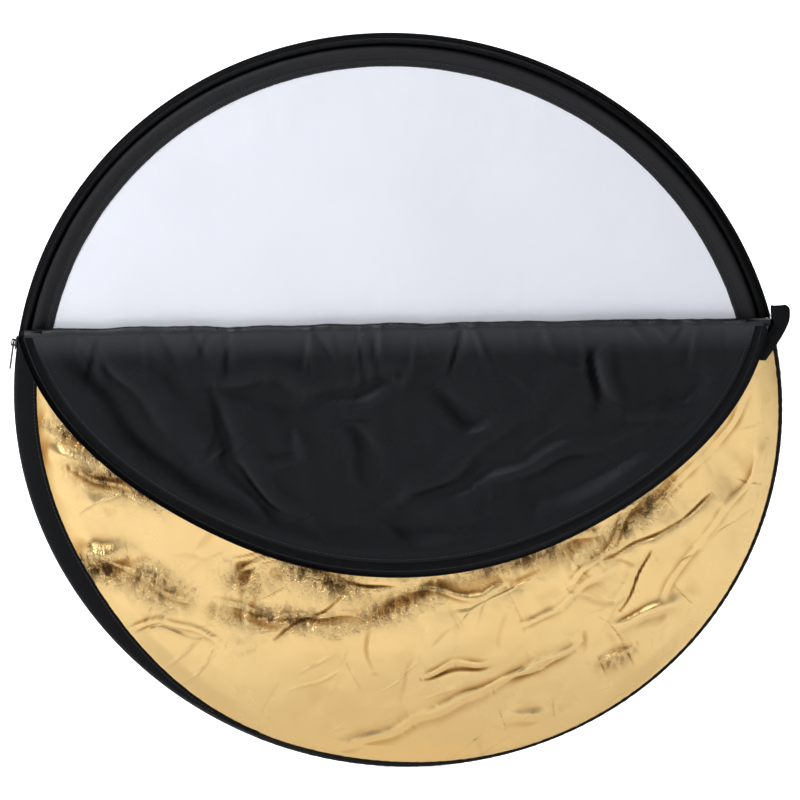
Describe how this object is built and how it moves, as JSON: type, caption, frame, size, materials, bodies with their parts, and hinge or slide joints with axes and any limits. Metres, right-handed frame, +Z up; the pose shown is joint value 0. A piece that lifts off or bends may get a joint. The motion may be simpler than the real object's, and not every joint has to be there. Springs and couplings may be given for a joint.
{
  "type": "collapsible reflector disc",
  "caption": "Round folding light reflector: sprung diffuser disc in a zip-on reversible cover, gold front panel unzipped and folded half down, silver back.",
  "frame": {"origin": "centre of the cover's round back face, on the silver cloth", "axes": "+Z up, +Y out of the silver back, -Y out of the gold front, +X to the right seen from the front"},
  "size_m": [0.831, 0.0294, 0.8214],
  "materials": {
    "silver_foil": "metallised cloth, bright, finely crinkled",
    "white_cloth": "matt white cloth",
    "gold_foil": "metallised cloth, gold, crinkled",
    "black_cloth": "black taffeta with a faint sheen",
    "diffuser_cloth": "translucent white cloth",
    "sleeve_cloth": "black woven binding",
    "zip_tape": "black woven zip tape",
    "zip_coil": "black polyester coil",
    "black_thread": "black sewing thread",
    "spring_steel": "tempered spring steel strip",
    "ferrule_steel": "folded steel",
    "rivet_steel": "steel rivet",
    "slider_metal": "black enamel on die-cast zinc",
    "stop_plastic": "moulded black stop"
  },
  "bodies": {
    "cover": {"back_silver_panel": "silver_foil", "back_white_lining": "white_cloth", "front_gold_panel": "gold_foil", "front_black_lining": "black_cloth", "edge_binding": "sleeve_cloth", "zip_tape_tail": "zip_tape", "zip_tape_back": "zip_tape", "zip_coil_back": "zip_coil", "zip_tape_front_lower": "zip_tape", "zip_coil_front_lower": "zip_coil", "zip_bottom_stop": "stop_plastic", "zip_top_stop_back": "stop_plastic", "back_seam_thread": "black_thread", "front_seam_thread": "black_thread"},
    "diffuser_disc": {"rim_sleeve": "sleeve_cloth", "diffuser_panel": "diffuser_cloth", "spring_hoop": "spring_steel", "hoop_ferrule": "ferrule_steel", "hoop_rivets": "rivet_steel", "hoop_channel_thread": "black_thread", "rim_hem_thread": "black_thread"},
    "flap_fold": {"fold_gold_layer": "gold_foil", "fold_black_layer": "black_cloth", "fold_zip_tape": "zip_tape", "fold_zip_coil": "zip_coil", "zip_top_stop_front": "stop_plastic"},
    "flap": {"flap_gold_layer": "gold_foil", "flap_black_lining": "black_cloth", "flap_zip_tape": "zip_tape", "flap_zip_coil": "zip_coil", "flap_seam_thread": "black_thread"},
    "zip_slider": {"slider_body": "slider_metal", "slider_crown": "slider_metal"},
    "pull": {"pull_tab": "slider_metal"}
  },
  "joints": [
    {"name": "disc_pull_out", "type": "slide", "parent": "cover", "child": "diffuser_disc", "axis": [0, 0, 1], "range_m": [0, 0.86]},
    {"name": "flap_crease", "type": "hinge", "parent": "cover", "child": "flap_fold", "pos_m": [0, -0.0165, 0.09], "axis": [1, 0, 0], "range_deg": [-179.9, 0]},
    {"name": "flap_slack", "type": "slide", "parent": "flap_fold", "child": "flap", "axis": [0, 0, -1], "range_m": [0, 0.043]},
    {"name": "slider_run", "type": "hinge", "parent": "cover", "child": "zip_slider", "pos_m": [0, 0, 0], "axis": [0, -1, 0], "range_deg": [-154.9, 74.6]},
    {"name": "pull_swing", "type": "hinge", "parent": "zip_slider", "child": "pull", "pos_m": [-0.40766, -0.00335, 0.07555], "axis": [0, 1, 0], "range_deg": [0, 150]}
  ],
  "couplings": [
    {"joint": "flap_slack", "follows": "flap_crease", "m_per_rad": -0.013687}
  ]
}
